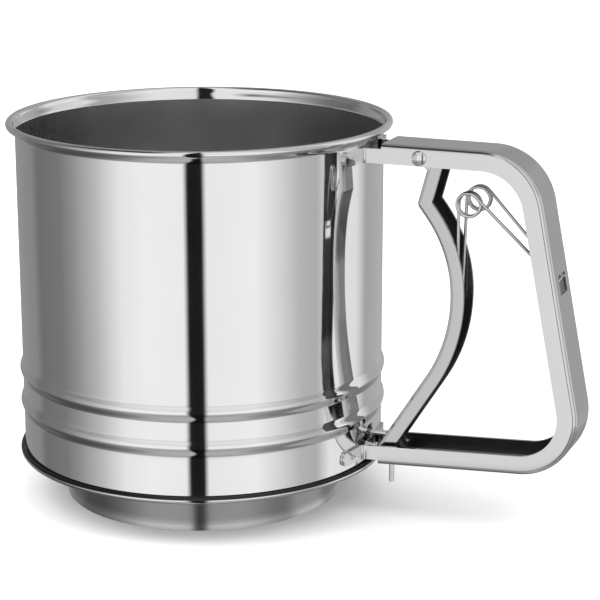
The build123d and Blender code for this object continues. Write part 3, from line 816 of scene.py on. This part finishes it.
def build_handle():
    """The whole blank's middle surface, ears and cut-outs included."""
    window_half_wide = 3.2 * MM
    slot_half_wide = 1.1 * MM
    web = [-5.85, -4.5, -3.2, -2.1, -1.1, -0.78, -0.4, 0, 0.4, 0.78, 1.1, 2.1, 3.2, 4.5, 5.85]
    section = channel_section(channel_half, channel_depth, channel_sheet, channel_bend, [w * MM for w in web])
    corners = [(web_end, handle_top), (handle_reach, handle_top), low_corner, (web_end, lower_web(web_end))]
    radii = [17.0 * MM, 16.3 * MM]
    line = turned_line(corners, radii, channel_sheet / 2, ([0, 1], [0, 1], [0, 1]), (2, 2))
    grip_top, grip_low = line[3], line[4]
    window_z = 69.5 * MM
    window_stops = [(grip_top.y - window_z + side * 2.6 * MM) / (grip_top.y - grip_low.y) for side in (-1, 1)]
    arm_start, arm_end = line[-2].x, line[-1].x
    slot_x = (57.25 * MM - slot_half_wide, 77.9 * MM + slot_half_wide)
    slot_stops = [(arm_start - x) / (arm_start - arm_end) for x in slot_x]
    stops = [evenly(14), with_stop(evenly(16), *window_stops), with_stop(evenly(18), *slot_stops)]
    rows = channel_rows(corners, radii, section, stops, (24, 24))
    work = bmesh.new()
    grid = [[work.verts.new(p) for p in row] for row in rows]
    grip_first = len(stops[0]) + 23
    arm_first = grip_first + len(stops[1]) + 23
    window_span = [grip_first + stops[1].index(stop) for stop in window_stops]
    slot_span = [arm_first + stops[2].index(stop) for stop in slot_stops]
    for j in range(len(grid) - 1):
        middle = (section[j][1] + section[j + 1][1]) / 2
        on_web = section[j][0] < channel_sheet and section[j + 1][0] < channel_sheet
        for i in range(len(grid[0]) - 1):
            in_window = on_web and abs(middle) < window_half_wide and window_span[0] <= i < window_span[1]
            in_slot = on_web and abs(middle) < slot_half_wide and slot_span[0] <= i < slot_span[1]
            if not in_window and not in_slot:
                work.faces.new((grid[j][i], grid[j][i + 1], grid[j + 1][i + 1], grid[j + 1][i]))
    for j, (offset, across) in enumerate(section):
        if offset < channel_sheet and abs(across) <= slot_half_wide:
            draw_in = slot_half_wide - math.sqrt(slot_half_wide**2 - across**2)
            grid[j][slot_span[0]].co.x -= draw_in
            grid[j][slot_span[1]].co.x += draw_in
    flanges = ((0, 1, 2), (len(grid) - 1, len(grid) - 2, len(grid) - 3))
    for flange, sign in zip(flanges, (-1, 1)):
        add_ears(work, [grid[j][0] for j in flange], True, sign)
        add_ears(work, [grid[j][-1] for j in flange], False, sign)
    loose = [v for v in work.verts if not v.link_faces]
    bmesh.ops.delete(work, geom=loose, context="VERTS")
    face_outward(work, (handle_reach, 0, handle_top), (1, 0, 1))
    return work


handle = mesh_piece("folded_handle", build_handle(), polished_sheet, "root", ["handle"])
# The handle's inner side carries the painted shade of the fold.
give_thickness(handle, channel_sheet, 0.1 * MM, painted_fold_shade)

# Trigger: a narrower folded channel with its web towards the cup, kinked below the pivot and
# curved to the fingers. Two ears hang on the rivet and a foot tab carries the link wire.
trigger_half = 4.7 * MM
trigger_depth = 4.0 * MM
trigger_bend = 1.2 * MM
pivot = Vector(frame["joints"][0]["pos_m"])
trigger_front = cup_radius + 23.9 * MM
tip_height = 18.86 * MM
pin_x = cup_radius + 6.6 * MM

pressed_sheet = steel("pressed_sheet", 0.08, 0.07, 0.14, 0.6, 0.56, (60, 60, 1500), 0.00002)


def trigger_path():
    """The web's outer face from its tip up to the ears."""
    kink = (cup_radius + 14.2 * MM, handle_top - 16.2 * MM)
    top_z = pivot.z - 1.0 * MM
    top_x = kink[0] + (top_z - kink[1]) * math.tan(math.radians(15.1))
    lower = (trigger_front, handle_top - 53.3 * MM)
    upper = (trigger_front, handle_top - 29.1 * MM)
    return [(pin_x - 3.2 * MM, tip_height), lower, upper, kink, (top_x, top_z)]


def build_trigger():
    """Middle surface of the channel, cut flat at the tip and notched for the wire."""
    web = [-3.5, -2.4, -1.2, 0, 1.2, 2.4, 3.5]
    section = channel_section(trigger_half, trigger_depth, channel_sheet, trigger_bend, [w * MM for w in web])
    stops = [evenly(22), evenly(8), evenly(6), evenly(6)]
    radii = [42.0 * MM, 35.0 * MM, 1.5 * MM]
    rows = channel_rows(trigger_path(), radii, section, stops, (24, 20, 6))
    work = bmesh.new()
    grid = [[work.verts.new(p) for p in row] for row in rows]
    for here, there in zip(grid, grid[1:]):
        for i in range(len(here) - 1):
            work.faces.new((here[i], here[i + 1], there[i + 1], there[i]))
    for height, keep_above in ((tip_height, True), (link_height - 1.8 * MM, False), (link_height + 1.8 * MM, False)):
        everything = work.verts[:] + work.edges[:] + work.faces[:]
        bmesh.ops.bisect_plane(
            work, geom=everything, plane_co=(0, 0, height), plane_no=(0, 0, -1), clear_outer=keep_above
        )
    notch = []
    for face in work.faces:
        middle = face.calc_center_median()
        on_web = abs(middle.y) < 1.2 * MM
        if on_web and abs(middle.z - link_height) < 1.8 * MM:
            notch.append(face)
    bmesh.ops.delete(work, geom=notch, context="FACES")
    face_outward(work, (trigger_front, 0, handle_top / 2), (-1, 0, 0))
    return work


trigger = mesh_piece("squeeze_trigger", build_trigger(), pressed_sheet, "trigger", ["trigger"])
# The trigger's inner side carries the painted shade of the fold.
give_thickness(trigger, channel_sheet, 0.12 * MM, painted_fold_shade)


def flat_plate(loops, to_place, tall):
    """A plate from an outline and its holes, stood where it belongs."""
    work = bmesh.new()
    edges = []
    for loop in loops:
        verts = [work.verts.new((x, y, 0)) for x, y in loop]
        for here, there in zip(verts, verts[1:] + verts[:1]):
            edges.append(work.edges.new((here, there)))
    bmesh.ops.triangle_fill(work, edges=edges, use_beauty=True)
    pull_up(work, tall)
    for vert in work.verts:
        vert.co = to_place(vert.co)
    bmesh.ops.recalc_face_normals(work, faces=work.faces)
    return work


ear_disc = 2.0 * MM
ear_bore = 1.05 * MM
neck_top = trigger_path()[-1]
neck_low = neck_top[1] - 2 * trigger_bend
ear_outline = arc_points((pivot.x, pivot.z), ear_disc, 0, 180, 20)
ear_outline += [(neck_top[0] - trigger_bend / 2, neck_low), (neck_top[0] + trigger_depth - trigger_bend, neck_low)]
ear_hole = [(pivot.x + ear_bore * math.cos(a), pivot.z + ear_bore * math.sin(a)) for a in even_angles(28)]
for sign, label in ((-1, "near"), (1, "far")):
    inner = sign * (trigger_half - channel_sheet - 0.03 * MM)
    ear = mesh_piece(
        f"trigger_ear_{label}",
        flat_plate([ear_outline, ear_hole], lambda p: Vector((p.x, inner + sign * p.z, p.y)), channel_sheet),
        pressed_sheet, "trigger",
    )
    ear.data.shade_flat()

tab_start = trigger_path()[0][0] + channel_sheet
tab_half = 3.3 * MM
tab_length = 6.4 * MM
tab_outline = [
    (tab_start, -tab_half),
    (tab_start + tab_length, -tab_half),
    (tab_start + tab_length, tab_half),
    (tab_start, tab_half),
]
tab_hole = [(pin_x + 1.2 * MM * math.cos(a), 1.2 * MM * math.sin(a)) for a in even_angles(28)]
foot_tab = mesh_piece(
    "trigger_foot_tab",
    flat_plate([tab_outline, tab_hole], lambda p: Vector((p.x, p.y, tip_height + p.z)), channel_sheet),
    pressed_sheet, "trigger",
)
foot_tab.data.shade_flat()

# Pivot rivet and spacers: a pin headed over both flanges of the handle, with a plain washer each
# side to centre the trigger.
head_low, head_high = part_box("trigger_rivet")
head_radius = (head_high.x - head_low.x) / 2
head_tall = 0.9 * MM
shank_radius = 1.0 * MM


def turned_across(profile, count=40):
    """A turned piece whose axis lies along Y through the pivot."""
    work, rings = spin_profile(profile, even_angles(count))
    bmesh.ops.remove_doubles(work, verts=work.verts, dist=2e-6)
    for vert in work.verts:
        vert.co = Vector((pivot.x + vert.co.x, vert.co.z, pivot.z + vert.co.y))
    bmesh.ops.recalc_face_normals(work, faces=work.faces)
    return work


def pivot_profile():
    dome = domed(head_radius, head_tall * 0.7, channel_half + head_tall * 0.3, 1)
    upper = [(shank_radius, channel_half), (head_radius, channel_half)] + dome
    return [(r, -z) for r, z in upper[::-1]] + upper


pivot_rivet = mesh_piece(
    "pivot_rivet_pin", turned_across(pivot_profile()), headed_steel, "root", ["trigger_rivet"]
)
break_edges(pivot_rivet, 0.06 * MM)

spacer_outer = 1.9 * MM
spacer_faces = (trigger_half + 0.15 * MM, channel_half - channel_sheet)
for sign, label in ((-1, "near"), (1, "far")):
    near, far = (sign * face for face in spacer_faces)
    profile = [(shank_radius, near), (spacer_outer, near), (spacer_outer, far), (shank_radius, far)]
    spacer = mesh_piece(
        f"pivot_spacer_{label}", turned_across(profile + profile[:1]), rolled_sheet, "root",
        ["pivot_washers"],
    )
    break_edges(spacer, 0.06 * MM)

# Link wire: drawn stainless wire, hooked down through the foot tab and led through the wall to
# the lever of the agitator.
link_wire = 0.75 * MM
link_low, link_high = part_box("link_rod")

drawn_wire = steel("drawn_wire", 0.13, 0.08, 0.4, 0.2, 0.78, (900, 900, 300), 0.00002)


def rounded_route(points, radii, steps):
    """Straight runs joined by arcs through space."""
    points = [Vector(point) for point in points]
    route = [points[0]]
    for before, corner, after, radius in zip(points, points[1:], points[2:], radii):
        back = (before - corner).normalized()
        onward = (after - corner).normalized()
        turn = math.pi - back.angle(onward)
        setback = radius * math.tan(turn / 2)
        centre = corner + (back + onward).normalized() * (radius / math.cos(turn / 2))
        first = corner + back * setback - centre
        side = (corner + onward * setback - centre)
        across = (side - first * (side.dot(first) / first.length_squared)).normalized() * radius
        for number in range(steps + 1):
            swing = turn * number / steps
            route.append(centre + first * math.cos(swing) + across * math.sin(swing))
    return route + [points[-1]]


link_points = [
    (pin_x, 0, link_low.z),
    (pin_x, 0, link_height),
    (29.0 * MM, 0, link_height),
    (hook_point[0], hook_point[1], link_height),
    (hook_point[0], hook_point[1], 14.86 * MM),
]
link_points[0] = (pin_x, 0, min(link_low.z, 8.06 * MM))
link_route = rounded_route(link_points, (1.8 * MM, 6.0 * MM, 1.8 * MM), 10)
link_mesh = bmesh.new()
wire_tube(link_mesh, link_route, link_wire, 18)
bmesh.ops.recalc_face_normals(link_mesh, faces=link_mesh.faces)
link = mesh_piece("link_wire", link_mesh, drawn_wire, "link", ["link_rod"])
break_edges(link, 0.15 * MM, 60)

# Spring: one length of spring wire with two coils side by side. Its middle loop is caught in the
# grip's window and both free legs press on the trigger.
coil_radius = 3.15 * MM
coil_wire = 0.45 * MM
coil_centre = (cup_radius + 28.9 * MM, handle_top - 14.9 * MM)
coil_turns = 2.375
coil_pitch = 1.0 * MM
coil_inner = 3.4 * MM
leg_side = 2.4 * MM
leg_end = (trigger_front + channel_sheet + coil_wire + 0.1 * MM, handle_top - 43.0 * MM)
loop_side = 2.3 * MM
loop_point = (104.3 * MM, 69.7 * MM)

spring_steel = steel("spring_steel", 0.16, 0.08, 0.3, 0.2, 0.72, (900, 900, 900), 0.00002)


def spring_side(sign):
    """From the free leg round the coil to the middle loop."""
    points = [Vector((leg_end[0], sign * leg_side, leg_end[1]))]
    entry = Vector((coil_centre[0] - coil_radius, sign * coil_inner, coil_centre[1]))
    for number in range(1, 12):
        share = number / 12
        ease = share * share * (3 - 2 * share)
        straight = points[0].lerp(entry, share)
        points.append(Vector((straight.x, sign * (leg_side + (coil_inner - leg_side) * ease), straight.z)))
    steps = 76
    for number in range(steps + 1):
        turned = coil_turns * 360 * number / steps
        angle = math.radians(180 - turned)
        side = coil_inner + coil_pitch * turned / 360
        reach = (coil_centre[0] + coil_radius * math.cos(angle), coil_centre[1] + coil_radius * math.sin(angle))
        points.append(Vector((reach[0], sign * side, reach[1])))
    last = points[-1]
    for number in range(1, 9):
        points.append(last.lerp(Vector((loop_point[0], sign * loop_side, loop_point[1])), number / 8 * 0.97))
    return points


spring_mesh = bmesh.new()
wire_tube(spring_mesh, spring_side(-1) + spring_side(1)[::-1], coil_wire, 12)
bmesh.ops.recalc_face_normals(spring_mesh, faces=spring_mesh.faces)
spring = mesh_piece("trigger_torsion_spring", spring_mesh, spring_steel, None, ["trigger_spring"])
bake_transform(spring)

# Spot welds: four shallow round marks where the ears were fused to the cup.
weld_radius = 0.9 * MM
weld_sink = 0.04 * MM
welded_steel = steel("welded_steel", 0.12, 0.1, 0.2, 0.3, 0.72, (900, 900, 900), 0.00002)
for upper in (True, False):
    for sign in (-1, 1):
        across = sign * (channel_half + ear_length * 0.55)
        wall = cup_radius + channel_sheet
        spot_x = math.sqrt(wall**2 - across**2)
        middle = (channel_bend + channel_depth) / 2
        spot_z = handle_top - middle if upper else lower_web(spot_x) + middle
        outward = Vector((spot_x, across, 0)).normalized()
        profile = [(1e-6, -weld_sink), (weld_radius * 0.6, -weld_sink), (weld_radius * 0.9, 0), (weld_radius, -weld_sink)]
        work, rings = spin_profile(profile, even_angles(24))
        bmesh.ops.remove_doubles(work, verts=work.verts, dist=2e-6)
        turn = outward.to_track_quat("Z", "Y")
        for vert in work.verts:
            vert.co = turn @ vert.co + Vector((spot_x, across, spot_z)) + outward * 0.06 * MM
        bmesh.ops.recalc_face_normals(work, faces=work.faces)
        label = ("upper" if upper else "lower") + ("_far" if sign > 0 else "_near")
        mesh_piece(f"spot_weld_{label}", work, welded_steel, "root")

# Studio: a plain pale floor, a room of soft white with dark flags that polished steel picks up,
# two soft lights above and the camera.
floor_half = 3.0
floor_mesh = bmesh.new()
floor_verts = [floor_mesh.verts.new((x * floor_half, y * floor_half, 0)) for x, y in ((-1, -1), (1, -1), (1, 1), (-1, 1))]
floor_mesh.faces.new(floor_verts)
floor_data = bpy.data.meshes.new("studio_floor")
floor_mesh.to_mesh(floor_data)
floor_mesh.free()
floor = bpy.data.objects.new("studio_floor", floor_data)
bpy.context.scene.collection.objects.link(floor)
paper = bpy.data.materials.new("pale_paper")
paper.use_nodes = True
paper_shader = paper.node_tree.nodes["Principled BSDF"]
paper_shader.inputs["Roughness"].default_value = 0.9
paper_shader.inputs["Specular IOR Level"].default_value = 0.0
paper_grain = paper.node_tree.nodes.new("ShaderNodeTexNoise")
paper_grain.inputs["Scale"].default_value = 400
paper_tone = paper.node_tree.nodes.new("ShaderNodeValToRGB")
paper_tone.color_ramp.elements[0].color = (0.93, 0.93, 0.93, 1)
paper_tone.color_ramp.elements[1].color = (0.96, 0.96, 0.96, 1)
paper.node_tree.links.new(paper_grain.outputs["Fac"], paper_tone.inputs["Fac"])
paper.node_tree.links.new(paper_tone.outputs["Color"], paper_shader.inputs["Base Color"])
from_below = paper.node_tree.nodes.new("ShaderNodeNewGeometry")
unseen = paper.node_tree.nodes.new("ShaderNodeBsdfTransparent")
one_sided = paper.node_tree.nodes.new("ShaderNodeMixShader")
paper.node_tree.links.new(from_below.outputs["Backfacing"], one_sided.inputs[0])
paper.node_tree.links.new(paper_shader.outputs[0], one_sided.inputs[1])
paper.node_tree.links.new(unseen.outputs[0], one_sided.inputs[2])
paper.node_tree.links.new(one_sided.outputs[0], paper.node_tree.nodes["Material Output"].inputs["Surface"])
floor_data.materials.append(paper)
floor.visible_glossy = False


def add_math(tree, operation, first, second=None):
    node = tree.nodes.new("ShaderNodeMath")
    node.operation = operation
    for slot_number, value in enumerate((first, second)):
        if isinstance(value, (int, float)):
            node.inputs[slot_number].default_value = value
        elif value is not None:
            tree.links.new(value, node.inputs[slot_number])
    return node.outputs[0]


def grey_ramp(tree, factor, stops):
    """A ramp of greys; each stop is (place, brightness)."""
    ramp = tree.nodes.new("ShaderNodeValToRGB")
    tree.links.new(factor, ramp.inputs["Fac"])
    band = ramp.color_ramp
    while len(band.elements) > 1:
        band.elements.remove(band.elements[-1])
    band.elements[0].position = stops[0][0]
    band.elements[0].color = (stops[0][1],) * 3 + (1,)
    for place, bright in stops[1:]:
        band.elements.new(place).color = (bright,) * 3 + (1,)
    return ramp.outputs["Color"]


# Bearings are in degrees from -Y towards +X, the side that the operator stands on.
flags = [
    (-180, 0.46), (-155, 0.33), (-104, 0.26), (-95, 0.17), (-72, 0.2), (-60, 0.3), (-43, 0.52), (-25, 0.88),
    (-9, 0.95), (14.9, 0.93), (16.0, 0.012), (25.8, 0.012), (27.6, 0.9), (58, 0.95), (72, 0.76), (89, 0.5),
    (101, 0.46), (112, 0.85), (138, 0.8), (150, 0.4), (180, 0.46),
]
world = bpy.data.worlds.new("studio_room")
bpy.context.scene.world = world
world.use_nodes = True
room = world.node_tree
background = room.nodes["Background"]
facing = room.nodes.new("ShaderNodeTexCoord")
split = room.nodes.new("ShaderNodeSeparateXYZ")
room.links.new(facing.outputs["Generated"], split.inputs[0])
backward = add_math(room, "MULTIPLY", split.outputs["Y"], -1.0)
bearing = add_math(room, "ARCTAN2", split.outputs["X"], backward)
share = add_math(room, "ADD", add_math(room, "DIVIDE", bearing, 2 * math.pi), 0.5)
ring = grey_ramp(room, share, [((degrees + 180) / 360, bright) for degrees, bright in flags])
height = add_math(room, "ADD", add_math(room, "MULTIPLY", split.outputs["Z"], 0.5), 0.5)
levels = [
    (-90, 0.8), (-72, 0.5), (-46, 0.4), (-30, 0.48), (-23, 0.66), (-20.4, 1.0), (14, 1.0), (19, 0.8), (36, 0.95),
    (55, 0.85), (90, 1.0),
]


def by_elevation(stops):
    """A ramp over the height of a direction, its stops in degrees above the horizon."""
    return grey_ramp(room, height, [((math.sin(math.radians(d)) + 1) / 2, bright) for d, bright in stops])


level = by_elevation(levels)
overhead_flag = by_elevation([(36, 1.0), (47, 0.1), (72, 0.1), (82, 1.0)])
flag_width = grey_ramp(room, share, [((d + 180) / 360, bright) for d, bright in ((-95, 0), (-80, 1), (-15, 1), (0, 0))])
seen = room.nodes.new("ShaderNodeMix")
seen.data_type = "RGBA"
seen.blend_type = "MULTIPLY"
seen.inputs[0].default_value = 1.0
room.links.new(ring, seen.inputs[6])
room.links.new(level, seen.inputs[7])
flagged = room.nodes.new("ShaderNodeMix")
flagged.data_type = "RGBA"
flagged.blend_type = "MULTIPLY"
room.links.new(flag_width, flagged.inputs[0])
room.links.new(seen.outputs[2], flagged.inputs[6])
room.links.new(overhead_flag, flagged.inputs[7])
ray = room.nodes.new("ShaderNodeLightPath")
chosen = room.nodes.new("ShaderNodeMix")
chosen.data_type = "RGBA"
room.links.new(ray.outputs["Is Glossy Ray"], chosen.inputs[0])
chosen.inputs[6].default_value = (1.35, 1.35, 1.35, 1)
room.links.new(flagged.outputs[2], chosen.inputs[7])
room.links.new(chosen.outputs[2], background.inputs["Color"])
background.inputs["Strength"].default_value = 1.0

for name, place, size, power in (
    ("soft_box_left", (-0.6, -0.5, 0.9), 0.7, 5.0),
    ("soft_box_right", (0.7, -0.2, 1.0), 0.6, 3.0),
):
    light_data = bpy.data.lights.new(name, "AREA")
    light_data.size = size
    light_data.energy = power
    light = bpy.data.objects.new(name, light_data)
    bpy.context.scene.collection.objects.link(light)
    light.location = place
    light.rotation_euler = (Vector((0.03, 0, 0.05)) - Vector(place)).to_track_quat("-Z", "Y").to_euler()
    light.visible_glossy = False

camera_distance = 553.85 * MM
camera_height = 201.96 * MM
camera_bearing = math.radians(25.14)
camera_turn = math.radians(2.87)
camera_dip = math.radians(14.93)
camera_data = bpy.data.cameras.new("studio_camera")
camera_data.sensor_width = 36
camera_data.lens = 121.07
camera_data.clip_start = 0.01
camera = bpy.data.objects.new("studio_camera", camera_data)
bpy.context.scene.collection.objects.link(camera)
camera.location = (
    camera_distance * math.sin(camera_bearing),
    -camera_distance * math.cos(camera_bearing),
    camera_height,
)
camera.rotation_euler = (math.pi / 2 - camera_dip, 0, camera_bearing - camera_turn)
bpy.context.scene.camera = camera
bpy.context.scene.view_settings.view_transform = "Standard"
